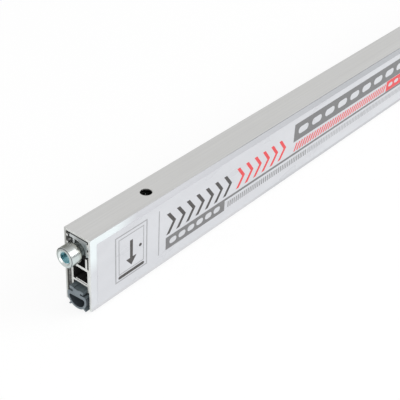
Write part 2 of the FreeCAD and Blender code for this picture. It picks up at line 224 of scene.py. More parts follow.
housing_half = [(HALF_WIDTH, 0, TOP_CORNER), (HALF_WIDTH, -HEIGHT), (INNER, -HEIGHT)]
for rib_foot, rib_top in RIBS:
    housing_half += [(INNER, rib_foot), (RIB_TIP, rib_foot), (RIB_TIP, rib_top), (INNER, rib_top)]
housing_half.append((INNER, CEILING))
housing_outline = rounded(mirrored(housing_half), SMALL_CORNER)
housing = extrusion("housing_shell", [housing_outline], START, END, SAWN_EDGE)
drill = [(-2, 0), (-2, HOLE_RADIUS), (-HOLE_CHAMFER, HOLE_RADIUS), (0, HOLE_RADIUS + HOLE_CHAMFER),
         (1, HOLE_RADIUS + HOLE_CHAMFER), (1, 0)]
for x in (START + HOLE_INSET, END - HOLE_INSET):
    cut(housing, lathe("drill", drill, (x, 0, 0), (0, 0, 1)))


def wired(tree, kind, inputs, **settings):
    """New node with its settings. Each input gets a plain value, or a link where the value is a socket."""
    node = tree.nodes.new(kind)
    for key, value in settings.items():
        setattr(node, key, value)
    for key, value in inputs.items():
        if isinstance(value, bpy.types.NodeSocket):
            tree.links.new(value, node.inputs[key])
        elif node.inputs[key].type == "RGBA":
            node.inputs[key].default_value = (*value, 1)
        else:
            node.inputs[key].default_value = value
    return node


def new_group(name, kind, inputs, outputs):
    """Empty node group with named sockets, and the sockets that its inputs come from."""
    group = bpy.data.node_groups.new(name, kind)
    for label, socket in inputs.items():
        group.interface.new_socket(label, in_out="INPUT", socket_type="NodeSocket" + socket)
    for label, socket in outputs.items():
        group.interface.new_socket(label, in_out="OUTPUT", socket_type="NodeSocket" + socket)
    return group, group.nodes.new("NodeGroupInput").outputs


def spread(tree, value, low, high, start=0.3, end=0.7):
    """Value spread between two numbers, and held at them past its start and end."""
    return wired(tree, "ShaderNodeMapRange", {"Value": value, "From Min": start, "From Max": end,
                                              "To Min": low, "To Max": high}).outputs[0]


def mixed(tree, factor, first, second):
    """Mix of two colours, each a socket or plain numbers."""
    mix = wired(tree, "ShaderNodeMix", {"Factor": factor, "A": first, "B": second}, data_type="RGBA")
    return mix.outputs["Result"]


def product(tree, first, second):
    """Product of two masks."""
    return wired(tree, "ShaderNodeMath", {0: first, 1: second}, operation="MULTIPLY").outputs[0]


def bumped(tree, height, strength, depth):
    """Normal of a relief that is this many millimetres deep."""
    relief = {"Height": height, "Strength": strength, "Distance": depth * MM}
    return wired(tree, "ShaderNodeBump", relief).outputs[0]


# Marks that working left on a surface, drawn out along the directions of low scale.
marks_group, given = new_group("marks", "ShaderNodeTree",
                               {"Scale": "Vector", "Detail": "Float", "Dark": "Color", "Light": "Color",
                                "Smooth": "Float", "Rough": "Float"},
                               {"Marks": "Float", "Colour": "Color", "Roughness": "Float"})
place = wired(marks_group, "ShaderNodeTexCoord", {}).outputs["Object"]
drawn_out = wired(marks_group, "ShaderNodeMapping", {"Vector": place, "Scale": given["Scale"]}).outputs[0]
noise = wired(marks_group, "ShaderNodeTexNoise",
              {"Vector": drawn_out, "Scale": 1.0, "Detail": given["Detail"]})
height = noise.outputs["Fac"]
wired(marks_group, "NodeGroupOutput",
      {"Marks": height,
       "Colour": mixed(marks_group, spread(marks_group, height, 0, 1), given["Dark"], given["Light"]),
       "Roughness": spread(marks_group, height, given["Smooth"], given["Rough"])})

# Mask that grows from a start to an end along one axis of the piece.
fade_group, given = new_group("fade", "ShaderNodeTree",
                              {"Axis": "Vector", "Start": "Float", "End": "Float", "Least": "Float"},
                              {"Mask": "Float"})
place = wired(fade_group, "ShaderNodeTexCoord", {}).outputs["Object"]
along = wired(fade_group, "ShaderNodeVectorMath", {0: place, 1: given["Axis"]}, operation="DOT_PRODUCT")
mask = spread(fade_group, along.outputs["Value"], given["Least"], 1, given["Start"], given["End"])
wired(fade_group, "NodeGroupOutput", {"Mask": mask})


def marks(tree, scale, dark=(0, 0, 0), light=(1, 1, 1), rough=(0.5, 0.5), detail=3.0):
    """Places the marks, with their scale along X, Y and Z, two tones, and least and most roughness."""
    return wired(tree, "ShaderNodeGroup",
                 {"Scale": scale, "Detail": detail, "Dark": dark, "Light": light,
                  "Smooth": rough[0], "Rough": rough[1]}, node_tree=marks_group).outputs


def fade(tree, axis, start, end, least=0.0):
    """Places a mask that grows between two places in millimetres on X, Y or Z."""
    direction = [float(letter == axis) for letter in "XYZ"]
    return wired(tree, "ShaderNodeGroup",
                 {"Axis": direction, "Start": start * MM, "End": end * MM, "Least": least},
                 node_tree=fade_group).outputs["Mask"]


def new_material(name):
    """Empty node material and its tree."""
    material = bpy.data.materials.new(name)
    material.use_nodes = True
    material.node_tree.nodes.clear()
    return material, material.node_tree


def surface(tree, colour, metallic, roughness, normal=None):
    """Ends a material in one shader."""
    inputs = {"Base Color": colour, "Metallic": metallic, "Roughness": roughness}
    if normal is not None:
        inputs["Normal"] = normal
    shader = wired(tree, "ShaderNodeBsdfPrincipled", inputs)
    wired(tree, "ShaderNodeOutputMaterial", {"Surface": shader.outputs[0]})
    return shader


def metal(name, dark, light, rough, scale, metallic=1.0, bump=0.1, gloss=0.5):
    """Metal in two tones, with nothing but its marks."""
    material, tree = new_material(name)
    worked = marks(tree, scale, dark, light, rough)
    normal = bumped(tree, worked["Marks"], bump, 0.05)
    shader = surface(tree, worked["Colour"], metallic, worked["Roughness"], normal)
    shader.inputs["Specular IOR Level"].default_value = gloss
    return material


# Scales of the marks along X, Y and Z. The lines run along the bar.
DRAWN_LINES = (12, 1600, 1600)
INNER_LINES = (40, 1500, 1500)
COARSE_LINES = (40, 900, 900)
SAWN_SCRATCHES = (500, 900, 2600)


def inner_metal(name, dark, light, end_shade, strip):
    """Inside metal with painted light near the sawn end: painted shade at the end, then a painted highlight
    strip, and painted shade further in.
    """
    material, tree = new_material(name)
    lines = marks(tree, INNER_LINES, dark, light, (0.5, 0.62))
    painted_end_shade = fade(tree, "X", START + end_shade[1], START + end_shade[0])
    inside = fade(tree, "X", START + strip[0], START + strip[1])
    base = mixed(tree, painted_end_shade, lines["Colour"], (0.10, 0.098, 0.09))
    base = mixed(tree, inside, base, (0.10, 0.10, 0.10))
    surface(tree, base, 0.5, lines["Roughness"], bumped(tree, lines["Marks"], 0.1, 0.05))
    return material


# Drawn aluminium has long fine lines and soft clouds.
aluminium, tree = new_material("aluminium_drawn")
lines = marks(tree, DRAWN_LINES, (0.635, 0.635, 0.63), (0.685, 0.685, 0.68), (0.62, 0.70), 2)
clouds = marks(tree, (60, 160, 160))
base = mixed(tree, spread(tree, clouds["Marks"], 0.0, 0.12), lines["Colour"], (0.57, 0.56, 0.548))
surface(tree, base, 0.2, lines["Roughness"], bumped(tree, lines["Marks"], 0.08, 0.03))

# The front face has a painted reflection, brighter at its sawn end and duller far
# along. The strip below the film has tones of its own, darker further along.
front_metal, tree = new_material("aluminium_front")
lines = marks(tree, DRAWN_LINES, (0.662, 0.648, 0.677), (0.702, 0.688, 0.717), (0.40, 0.50), 2)
upper = fade(tree, "Z", -14, -8, 0.2)
painted_reflection_near = product(tree, fade(tree, "X", START + 22, START + 12), upper)
painted_reflection_far = product(tree, fade(tree, "X", START + 38, START + 160), upper)
base = mixed(tree, painted_reflection_near, lines["Colour"], (0.88, 0.915, 0.923))
base = mixed(tree, painted_reflection_far, base, (0.497, 0.493, 0.514))
foot = mixed(tree, fade(tree, "X", START + 82, START + 102), (0.67, 0.655, 0.67), (0.594, 0.585, 0.602))
base = mixed(tree, fade(tree, "Z", -27.8, -29.0), base, foot)
surface(tree, base, 0.6, lines["Roughness"], bumped(tree, lines["Marks"], 0.08, 0.03))

# The sawn ends are duller on the back wall, with a shaded line along its inner edge.
sawn, tree = new_material("aluminium_sawn")
scratches = marks(tree, SAWN_SCRATCHES, (0.72, 0.72, 0.70), (0.84, 0.84, 0.83), (0.4, 0.52))
back_wall = fade(tree, "Y", INNER - 0.15, INNER + 0.05)
below_ceiling = product(tree, back_wall, fade(tree, "Z", CEILING - 0.1, CEILING - 0.7))
inner_edge = product(tree, below_ceiling, fade(tree, "Y", INNER + 0.65, INNER + 0.15))
base = mixed(tree, back_wall, scratches["Colour"], (0.63, 0.63, 0.62))
base = mixed(tree, inner_edge, base, (0.36, 0.35, 0.32))
surface(tree, base, 0.5, scratches["Roughness"], bumped(tree, scratches["Marks"], 0.2, 0.05))

# The rounded edge above the front face, with painted shade that darkens it past the near stretch.
edge_metal, tree = new_material("aluminium_edge")
lines = marks(tree, (12, 900, 900), (0.52, 0.53, 0.535), (0.58, 0.59, 0.595), (0.6, 0.7))
base = mixed(tree, fade(tree, "X", START + 62, START + 86), lines["Colour"], (0.33, 0.345, 0.36))
surface(tree, base, 0.3, lines["Roughness"], bumped(tree, lines["Marks"], 0.1, 0.05))

# Painted shade for the inner faces: near black under the ceiling and darker metal elsewhere. The lower
# walls and the rib tops also get painted light near the sawn end.
roof = metal("aluminium_roof", (0.045, 0.045, 0.042), (0.07, 0.07, 0.066), (0.6, 0.7), COARSE_LINES, 0.3)
bore = metal("aluminium_bore", (0.22, 0.22, 0.215), (0.32, 0.32, 0.31), (0.5, 0.62), INNER_LINES, 0.5)
wall = inner_metal("aluminium_wall", (0.50, 0.50, 0.49), (0.60, 0.60, 0.58), (0.4, 0.9), (1.8, 3.0))
rib_metal = inner_metal("aluminium_rib_top", (0.90, 0.90, 0.88), (0.95, 0.95, 0.93), (0.0, 1.2), (1.7, 2.0))


def paint(piece, material, fits=None):
    """Gives a material to a whole piece, or only to the faces whose centre and normal fit."""
    if fits is None:
        piece.data.materials.clear()
    if material.name not in piece.data.materials:
        piece.data.materials.append(material)
    index = piece.data.materials.find(material.name)
    for face in piece.data.polygons:
        if fits is None or fits(face.center / MM, face.normal):
            face.material_index = index


def dress(piece, body, slot, *replaced):
    """Puts a finished piece on its body, in place of the solids it stands for."""
    even = piece.modifiers.new("even", "WEIGHTED_NORMAL")
    even.weight = 100
    even.keep_sharp = True
    baked(piece)
    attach(piece, body)
    if replaced:
        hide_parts(*replaced)


LOWER_RIB_FOOT, LOWER_RIB_TOP = RIBS[0]
BELOW_RIBS = LOWER_RIB_FOOT - 0.2
INSIDE_TOP = CEILING + 0.04
paint(housing, aluminium)
paint(housing, front_metal, lambda centre, normal: centre.y < 0.1 - HALF_WIDTH and normal.y < -0.6)
# Painted shade on the inner faces, and painted light on the lower walls and rib tops near the sawn end.
paint(housing, bore, lambda centre, normal: abs(centre.y) < INNER + 0.02
      and BELOW_RIBS < centre.z < INSIDE_TOP)
paint(housing, wall, lambda centre, normal: abs(centre.y) < INNER + 0.02 and centre.z <= BELOW_RIBS)
paint(housing, rib_metal, lambda centre, normal: RIB_TIP - 0.1 < centre.y < INNER
      and abs(centre.z - LOWER_RIB_TOP) < 0.08 and normal.z > 0.5)
paint(housing, roof, lambda centre, normal: abs(centre.y) < INNER and CEILING - 0.5 < centre.z < INSIDE_TOP)
paint(housing, edge_metal, lambda centre, normal: centre.y < 0.3 - HALF_WIDTH
      and centre.z > -0.3 and abs(normal.y) < 0.98)
paint(housing, sawn, lambda centre, normal: abs(normal.x) > 0.4)
dress(housing, "housing", "aluminium", "housing")


# Film: a label of thin pale plastic with slightly rounded corners, rubbed down on
# the front face, so it has a soft sheen and is faintly wavy.
LONG = END - START
FILM_INSET = 3.0
FILM_FOOT = 1.5
FILM_TOP = 27.1
FILM_DEPTH = 0.037
FILM_THICK = 0.07
FILM_CORNER = 0.5


def on_front(name, outlines, depth, thick, material):
    """Flat shapes before the front face, x from the plunger end and z from the lower edge."""
    mesh = filled(name, outlines, thick)
    mesh.transform(Matrix(((1, 0, 0, START * MM), (0, 0, -1, -(HALF_WIDTH + depth) * MM),
                           (0, 1, 0, -HEIGHT * MM), (0, 0, 0, 1))))
    piece = from_mesh(name, mesh)
    paint(piece, material)
    return piece


film, tree = new_material("film")
waves = marks(tree, (50, 120, 120), (0.635, 0.64, 0.67), (0.685, 0.69, 0.72), (0.26, 0.34), 2)
shader = surface(tree, waves["Colour"], 0.0, waves["Roughness"], bumped(tree, waves["Marks"], 0.08, 0.2))
shader.inputs["Coat Weight"].default_value = 0.3
film_outline = [(FILM_INSET, FILM_FOOT), (LONG - FILM_INSET, FILM_FOOT), (LONG - FILM_INSET, FILM_TOP),
                (FILM_INSET, FILM_TOP)]
film_piece = on_front("film", [rounded(film_outline, FILM_CORNER, 5)], FILM_DEPTH, FILM_THICK, film)
dress(film_piece, "housing", "film", "label")


# Print: four inks on the film, a little uneven in density, in plain shapes only.
# They are a door with an arrow to its foot, rows of arrow shapes, grey bands with
# light pills, hatching, a red box and a fine scale.
PRINT_DEPTH = 0.079
PRINT_THICK = 0.026
FINE_GRAIN = (900, 900, 900)
ARROW_PITCH = 5.35


def ink(name, dark, light):
    material, tree = new_material(name)
    density = marks(tree, FINE_GRAIN, dark, light, (0.28, 0.36))
    shader = surface(tree, density["Colour"], 0.0, density["Roughness"])
    shader.inputs["Specular IOR Level"].default_value = 0.25
    return material


def arc(centre, radius, start, end, steps):
    """Points on a circle between two angles in degrees."""
    points = []
    for step in range(steps + 1):
        angle = math.radians(start + (end - start) * step / steps)
        points.append((centre[0] + radius * math.cos(angle), centre[1] + radius * math.sin(angle)))
    return points


def rectangle(u0, v0, u1, v1):
    return [(u0, v0), (u1, v0), (u1, v1), (u0, v1)]


def pill(u0, v0, u1, v1, steps=6):
    """Bar with two half-round ends."""
    radius = (v1 - v0) / 2
    middle = (v0 + v1) / 2
    right_end = arc((u1 - radius, middle), radius, -90, 90, steps)
    left_end = arc((u0 + radius, middle), radius, 90, 270, steps)
    return right_end + left_end


def pills(u0, v0, u1, v1, pitch, count):
    return [pill(u0 + pitch * k, v0, u1 + pitch * k, v1) for k in range(count)]


def chevron(u, v0, v1, reach, stroke):
    """Arrow shape that points to +X, its tips cut upright."""
    middle = (v0 + v1) / 2
    lower = [(u, v0), (u + stroke, v0), (u + stroke + reach, middle)]
    return lower + [(u + stroke, v1), (u, v1), (u + reach, middle)]


def slash(u, v0, v1, lean, stroke):
    return [(u, v0), (u + stroke, v0), (u + stroke + lean, v1), (u + lean, v1)]


def printed(name, outlines, material):
    """Shapes of one ink on the film."""
    return on_front(name, outlines, PRINT_DEPTH, PRINT_THICK, material)


# One shape repeated at a pitch along X.
row_group, given = new_group("row", "GeometryNodeTree",
                             {"Shape": "Object", "Count": "Int", "Pitch": "Float", "Material": "Material"},
                             {"Geometry": "Geometry"})
shape = wired(row_group, "GeometryNodeObjectInfo", {"Object": given["Shape"]}).outputs["Geometry"]
step = wired(row_group, "ShaderNodeCombineXYZ", {"X": given["Pitch"]}).outputs[0]
places = wired(row_group, "GeometryNodeMeshLine", {"Count": given["Count"], "Offset": step}).outputs[0]
shapes = wired(row_group, "GeometryNodeInstanceOnPoints", {"Points": places, "Instance": shape}).outputs[0]
real = wired(row_group, "GeometryNodeRealizeInstances", {0: shapes}).outputs[0]
inked = wired(row_group, "GeometryNodeSetMaterial", {"Geometry": real, "Material": given["Material"]})
wired(row_group, "NodeGroupOutput", {"Geometry": inked.outputs[0]})


def row(name, outline, count, pitch, material):
    """Row of one printed shape along X, baked into a mesh of its own."""
    single = printed("shape", [outline], material)
    holder = bpy.data.objects.new(name + "_row", bpy.data.meshes.new(name + "_row"))
    scene.collection.objects.link(holder)
    modifier = holder.modifiers.new("row", "NODES")
    modifier.node_group = row_group
    values = {"Shape": single, "Count": count, "Pitch": pitch * MM, "Material": material}
    for socket in row_group.interface.items_tree:
        if socket.in_out == "INPUT":
            modifier[socket.identifier] = values[socket.name]
    graph = bpy.context.evaluated_depsgraph_get()
    mesh = bpy.data.meshes.new_from_object(holder.evaluated_get(graph))
    bpy.data.objects.remove(holder)
    bpy.data.objects.remove(single)
    piece = bpy.data.objects.new(name, mesh)
    scene.collection.objects.link(piece)
    return piece


dark_ink = ink("ink_dark", (0.066, 0.058, 0.056), (0.088, 0.080, 0.078))
grey_ink = ink("ink_grey", (0.19, 0.187, 0.19), (0.218, 0.215, 0.218))
pale_ink = ink("ink_pale", (0.36, 0.36, 0.375), (0.42, 0.42, 0.435))
red_ink = ink("ink_red", (0.79, 0.068, 0.074), (0.85, 0.082, 0.088))

door = [rectangle(33.4, 5.1, 33.85, 24.5)]
door += [rectangle(11.5, 5.2, 27.5, 24.6), rectangle(12.0, 5.7, 27.0, 24.1)]
door += [rectangle(13.2, 8.0, 25.8, 23.0), rectangle(13.55, 8.35, 25.45, 22.65)]
arrow = [pill(13.0, 6.2, 26.0, 7.5), arc((24.0, 15.5), 0.7, 0, 330, 11)]
arrow += [[(19.5, 9.4), (22.1, 12.6), (20.2, 12.6), (20.2, 20.0), (18.8, 20.0), (18.8, 12.6), (16.9, 12.6)]]
prints = [printed("print_door", door, pale_ink), printed("print_arrow", arrow, dark_ink)]


def arrow_row(name, start, count, material):
    """Row of arrow shapes from a place along the film."""
    return row(name, chevron(start, 11.9, 21.0, 3.4, 1.75), count, ARROW_PITCH, material)


prints.append(arrow_row("print_arrows_grey", 37.6, 7, dark_ink))
prints.append(arrow_row("print_arrows_red", 77.6, 6, red_ink))

PRINT_END = LONG - 8
band = [[(37.4, 5.4), (71.0, 5.4), (71.0, 9.8), (PRINT_END, 9.8), (PRINT_END, 10.8), (37.4, 10.8)]]
band += pills(39.4, 6.9, 43.3, 9.3, 5, 6)
band += [rectangle(114.6, 16.2, 330, 24.4)]
band += pills(117.5, 18.7, 124.5, 21.9, 9.5, 22)
red_box = [rectangle(186.6, 10.9, 204, 16.0)]
red_box += pills(188.4, 12.6, 192.0, 14.4, 5, 3)
prints += [printed("print_band", band, grey_ink), printed("print_box", red_box, red_ink)]

prints.append(row("print_hatch", slash(115.2, 11.5, 15.0, 1.6, 0.95), 37, 1.9, red_ink))
prints.append(row("print_scale_near", rectangle(73.0, 6.0, 73.5, 8.6), 42, 1.25, grey_ink))
prints.append(row("print_scale_far", rectangle(126.0, 6.0, 126.5, 8.6), 160, 1.25, pale_ink))
prints.append(arrow_row("print_far_arrows_grey", 338.0, 7, dark_ink))
prints.append(arrow_row("print_far_arrows_red", 378.0, 6, red_ink))
for piece in prints:
    dress(piece, "housing", "film")


# Lift mechanism: zinc plated links, and forks, brackets, pins, rivets and the
# spring's stop of bare steel, punched or turned and riveted together inside the
# bar. Their solids stay, and those that other pieces stand for don't show.
PLATED = (300, 300, 300)
GRAIN = (700, 700, 700)
zinc = metal("zinc_plate", (0.63, 0.66, 0.63), (0.72, 0.75, 0.73), (0.28, 0.34), PLATED, bump=0.02)
steel = metal("bare_steel", (0.30, 0.33, 0.325), (0.42, 0.45, 0.445), (0.3, 0.42), GRAIN)
for name, node in nodes.items():
    node.data.materials.clear()
    node.data.materials.append(zinc if "link" in name else steel)


# Drop bar: an aluminium extrusion that the links push down. It is a box section
# with two legs above, a slot for the seal below, and a thin tongue over the floor
# of the box. Its ends are sawn clean, with painted shade at the lips of the slot.
BAR_START, BAR_END = (corner[0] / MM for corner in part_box("drop_bar"))
BAR_INNER = 3.35
BAR_OUTER = 4.25
LEG_INNER = 2.5
BAR_TOP = -9.6
BOX_TOP = -13.7
BOX_CEILING = -14.7
BOX_FLOOR = -20.35
TONGUE_TOP = -19.65
TONGUE_FOOT = -20.1
TONGUE_ROOT = -3.0
TONGUE_TIP = 2.2
SLOT_CEILING = -21.15
LIP_TOP = -23.6
LIP_INNER = 1.9
BAR_FOOT = -24.25
bar_half = [(LEG_INNER, BOX_TOP), (LEG_INNER, BAR_TOP), (BAR_INNER, BAR_TOP), (BAR_INNER, BOX_TOP),
            (BAR_OUTER, BOX_TOP), (BAR_OUTER, BAR_FOOT), (LIP_INNER, BAR_FOOT), (LIP_INNER, LIP_TOP),
            (BAR_INNER, LIP_TOP), (BAR_INNER, SLOT_CEILING)]
bar_hollow = [(-BAR_INNER, BOX_CEILING), (BAR_INNER, BOX_CEILING), (BAR_INNER, BOX_FLOOR),
              (TONGUE_ROOT, BOX_FLOOR), (TONGUE_ROOT, TONGUE_FOOT), (TONGUE_TIP, TONGUE_FOOT),
              (TONGUE_TIP, TONGUE_TOP), (-BAR_INNER, TONGUE_TOP)]
bar = extrusion("drop_bar_section", [rounded(mirrored(bar_half), 0.08), rounded(bar_hollow, 0.05)],
                BAR_START, BAR_END, 0.05)

# The bar's sawn ends, with painted shade below the top of the slot's lips.
bar_sawn, tree = new_material("aluminium_bar_end")
scratches = marks(tree, SAWN_SCRATCHES, (0.76, 0.76, 0.74), (0.84, 0.84, 0.82), (0.4, 0.52))
base = mixed(tree, fade(tree, "Z", LIP_TOP + 0.2, LIP_TOP), scratches["Colour"], (0.05, 0.06, 0.065))
surface(tree, base, 0.4, scratches["Roughness"], bumped(tree, scratches["Marks"], 0.2, 0.05))
# Near black painted shade for deep hollows.
painted_shade_black = metal("hollow_bore", (0.014, 0.014, 0.014), (0.022, 0.022, 0.022), (0.8, 0.9), COARSE_LINES,
                  0.0, gloss=0.1)
# The bar gets the housing's darker inner metal as painted shade, and near black painted shade in the box
# and between its legs.
paint(bar, bore)
paint(bar, painted_shade_black, lambda centre, normal: abs(centre.y) < BAR_INNER + 0.02
      and SLOT_CEILING + 0.15 < centre.z < BOX_CEILING + 0.05)
paint(bar, painted_shade_black, lambda centre, normal: abs(centre.y) < LEG_INNER + 0.02 and centre.z > BOX_TOP - 0.05)
paint(bar, bar_sawn, lambda centre, normal: abs(normal.x) > 0.3)
dress(bar, "drop_bar", "aluminium", "drop_bar")


# Seal: extruded silicone, a T head that is drawn into the bar's slot and a hollow
# bulb with a small lip on each side. Below its neck it leans a little to the
# front, and its back lip is pressed flat.
SEAL_START, SEAL_END = (corner[0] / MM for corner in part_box("seal"))
LEAN = math.radians(4.4)
PLAY_IN_SLOT = 0.15
TEE_HALF = BAR_INNER - PLAY_IN_SLOT
TEE_TOP = -22.4
NECK_HALF = LIP_INNER - PLAY_IN_SLOT
NECK_Z = -24.3
SHOULDER_Z = -24.4
FLOOR_Z = -30.7
BELLY = (0, -26.2)
BELLY_RADIUS = 4.5
HOLLOW_RADIUS = 3.65


def leaned(points):
    """Turns what lies below the neck about it, and keeps it above the floor."""
    result = []
    for y, z in points:
        if z < NECK_Z:
            drop = z - NECK_Z
            z = NECK_Z - y * math.sin(LEAN) + drop * math.cos(LEAN)
            y = y * math.cos(LEAN) + drop * math.sin(LEAN)
        result.append((y, max(z, FLOOR_Z)))
    return result


seal_half = [(1.2, TEE_TOP - 0.35), (1.2, TEE_TOP), (TEE_HALF, TEE_TOP), (TEE_HALF, LIP_TOP),
             (NECK_HALF, LIP_TOP), (NECK_HALF, SHOULDER_Z), (3.8, SHOULDER_Z, 0.3), (4.3, -24.95),
             (4.46, -25.6)] + arc(BELLY, BELLY_RADIUS, -1, -44, 7)
seal_half += [(4.18, -30.06), (3.82, -30.54)] + arc(BELLY, BELLY_RADIUS, -52.5, -88, 6)
hollow_half = [(3.1, -25.8, 0.3), (3.52, -26.1)] + arc(BELLY, HOLLOW_RADIUS, -4, -88, 12)
seal_outline = leaned(rounded(mirrored(seal_half), 0.12))
hollow_outline = leaned(rounded(mirrored(hollow_half), 0.1))
seal = extrusion("seal_profile", [seal_outline, hollow_outline], SEAL_START, SEAL_END, SAWN_EDGE)


def rubber(name, dark, light, rough):
    """Matt silicone with a fine grain and soft dust."""
    material, tree = new_material(name)
    grain = marks(tree, (900, 2200, 2200), dark, light, detail=4)
    dust = marks(tree, (90, 260, 260), rough=rough, detail=4)
    base = mixed(tree, spread(tree, dust["Marks"], 0.0, 0.35, 0.5, 0.75), grain["Colour"], light)
    surface(tree, base, 0.0, dust["Roughness"], bumped(tree, grain["Marks"], 0.2, 0.04))
    return material


silicone = rubber("silicone_skin", (0.088, 0.113, 0.123), (0.118, 0.148, 0.162), (0.55, 0.7))
silicone_cut = rubber("silicone_cut", (0.16, 0.19, 0.212), (0.215, 0.25, 0.275), (0.6, 0.75))
silicone_painted_shade = rubber("silicone_painted_shade", (0.028, 0.036, 0.044), (0.046, 0.058, 0.070), (0.6, 0.75))
# Painted shade: darker in the hollow, beside and above the neck, and behind the housing's front wall.
paint(seal, silicone)
paint(seal, silicone_painted_shade, lambda centre, normal: centre.z < -25.7
      and math.hypot(centre.y + 0.2, centre.z - BELLY[1]) < HOLLOW_RADIUS + 0.35)
paint(seal, silicone_painted_shade, lambda centre, normal: abs(normal.y) > 0.8 and abs(centre.y) < NECK_HALF + 0.05
      and centre.z > SHOULDER_Z)
paint(seal, silicone_painted_shade, lambda centre, normal: 1.7 < abs(centre.y) < 3.1 and -24.6 < centre.z < -23.55)
paint(seal, silicone_painted_shade, lambda centre, normal: centre.y < -3.9 and normal.y < -0.75
      and centre.z > -28.6)
paint(seal, silicone_cut, lambda centre, normal: abs(normal.x) > 0.3)
dress(seal, "drop_bar", "silicone", "seal")


# Adjusting screw: zinc plated steel, with a turned head, a crisp dark ring of painted
# reflection at its rim and a countersunk hexagon socket. Its threaded shank turns in the block.
SCREW_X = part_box("adjusting_screw")[0][0] / MM
SCREW_Z = -6.6
SCREW_AXIS = ((SCREW_X, 0, SCREW_Z), (1, 0, 0))
HEAD_LENGTH = 4.7
HEAD_RADIUS = 3.82
HEXAGON_CORNER = 2.309
SOCKET_DEPTH = 2.6
SINK_DEPTH = 0.45
THREAD_END = 18.5
THREAD_RADIUS = 2.5
THREAD_DEPTH = 0.45
THREAD_PITCH = 0.8
head_profile = [(0, 0), (0, 3.42), (0.03, 3.5), (0.24, 3.72), (0.32, 3.79), (0.5, HEAD_RADIUS),
                (4.1, HEAD_RADIUS), (4.4, 3.75), (4.62, 3.55), (HEAD_LENGTH, 3.35), (HEAD_LENGTH, 0)]
screw = lathe("screw_head_finished", head_profile, *SCREW_AXIS, 96)
sink_profile = [(-1, 0), (-1, 3.7), (0, 2.7), (SINK_DEPTH, 2.25), (SINK_DEPTH, 0)]
cut(screw, lathe("sink", sink_profile, *SCREW_AXIS, 48))
hexagon = []
for k in range(6):
    angle = math.radians(60 * k + 30)
    hexagon.append((HEXAGON_CORNER * math.cos(angle), SCREW_Z + HEXAGON_CORNER * math.sin(angle)))
cut(screw, extrusion("hexagon", [rounded(hexagon, 0.15)], SCREW_X - 1, SCREW_X + SOCKET_DEPTH, 0.02))
cleaned(screw.data, 28)

# The head's side darkens towards its back with painted shade, where it nears the block.
zinc_head, tree = new_material("zinc_head")
plating = marks(tree, PLATED, (0.58, 0.61, 0.595), (0.66, 0.69, 0.68), (0.22, 0.27))
painted_shade_at_back = fade(tree, "X", SCREW_X + 2.8, SCREW_X + HEAD_LENGTH)
base = mixed(tree, painted_shade_at_back, plating["Colour"], (0.36, 0.36, 0.31))
surface(tree, base, 1.0, plating["Roughness"], bumped(tree, plating["Marks"], 0.02, 0.05))

# Inside the socket it is blue-grey, and the back flat has a painted highlight above and painted shade
# below.
blue_zinc, tree = new_material("zinc_in_shadow")
plating = marks(tree, (500, 600, 600), (0.46, 0.62, 0.65), (0.62, 0.78, 0.81), (0.15, 0.25))
back_flat = mixed(tree, fade(tree, "Z", SCREW_Z, SCREW_Z + 0.8), (0.20, 0.33, 0.36), (0.95, 1.0, 1.0))
base = mixed(tree, fade(tree, "Y", 1.1, 1.6), plating["Colour"], back_flat)
surface(tree, base, 1.0, plating["Roughness"], bumped(tree, plating["Marks"], 0.1, 0.05))

# A painted dark reflection on the chamfer at the head's rim.
zinc_rim_painted_reflection = metal("zinc_rim_painted_reflection", (0.15, 0.15, 0.16), (0.22, 0.22, 0.23), (0.4, 0.5), GRAIN)
# A painted highlight on the socket's countersink.
zinc_painted_highlight = metal("zinc_painted_highlight", (0.70, 0.73, 0.72), (0.78, 0.80, 0.79), (0.28, 0.36), PLATED, bump=0.02)
# Painted shade: the threaded shank behind the head is dark steel.
shank_painted_shade = metal("steel_painted_shade", (0.10, 0.115, 0.11), (0.16, 0.18, 0.175), (0.38, 0.5), FINE_GRAIN, 0.8)


def from_axis(centre):
    """Distance from the screw's axis."""
    return math.hypot(centre.y, centre.z - SCREW_Z)


paint(screw, zinc_head)
paint(screw, blue_zinc, lambda centre, normal: 0.4 < centre.x - SCREW_X < 3 and from_axis(centre) < 2.34)
paint(screw, zinc_rim_painted_reflection, lambda centre, normal: 0.04 < centre.x - SCREW_X < 0.22 and from_axis(centre) > 3.4)
paint(screw, zinc_painted_highlight, lambda centre, normal: 0.02 < centre.x - SCREW_X < 0.44
      and from_axis(centre) < 2.69)
dress(screw, "screw", "zinc", "adjusting_screw")


def skinned(name, rings):
    """Mesh over rings of points in millimetres, closed by a flat face at each end."""
    work = bmesh.new()
    hoops = [[work.verts.new([value * MM for value in point]) for point in ring] for ring in rings]
    for first, second in zip(hoops, hoops[1:]):
        for side in range(len(first)):
            after = (side + 1) % len(first)
            work.faces.new((first[side], first[after], second[after], second[side]))
    work.faces.new(hoops[0])
    work.faces.new(hoops[-1])
    mesh = bpy.data.meshes.new(name)
    work.to_mesh(mesh)
    work.free()
    return from_mesh(name, mesh, 60)


def thread(name, x0, x1, radius, depth, pitch, z, around=48, per_turn=12):
    """Shank whose radius rises and falls along a helix, and which runs out at both ends."""
    count = int((x1 - x0) / pitch * per_turn)
    rings = []
    for index in range(count + 1):
        x = x0 + (x1 - x0) * index / count
        full = max(0.0, min(1.0, (x - x0) / pitch, (x1 - x) / pitch))
        ring = []
        for side in range(around):
            angle = 2 * math.pi * side / around
            phase = ((x - x0) / pitch - side / around) % 1.0
            r = radius - depth * ((1 - abs(2 * phase - 1)) * full + 0.5 * (1 - full))
            ring.append((x, r * math.cos(angle), z + r * math.sin(angle)))
        rings.append(ring)
    return skinned(name, rings)


shank = thread("screw_thread", SCREW_X + HEAD_LENGTH - 0.1, SCREW_X + THREAD_END,
               THREAD_RADIUS, THREAD_DEPTH, THREAD_PITCH, SCREW_Z)
paint(shank, shank_painted_shade)
dress(shank, "screw", "zinc")


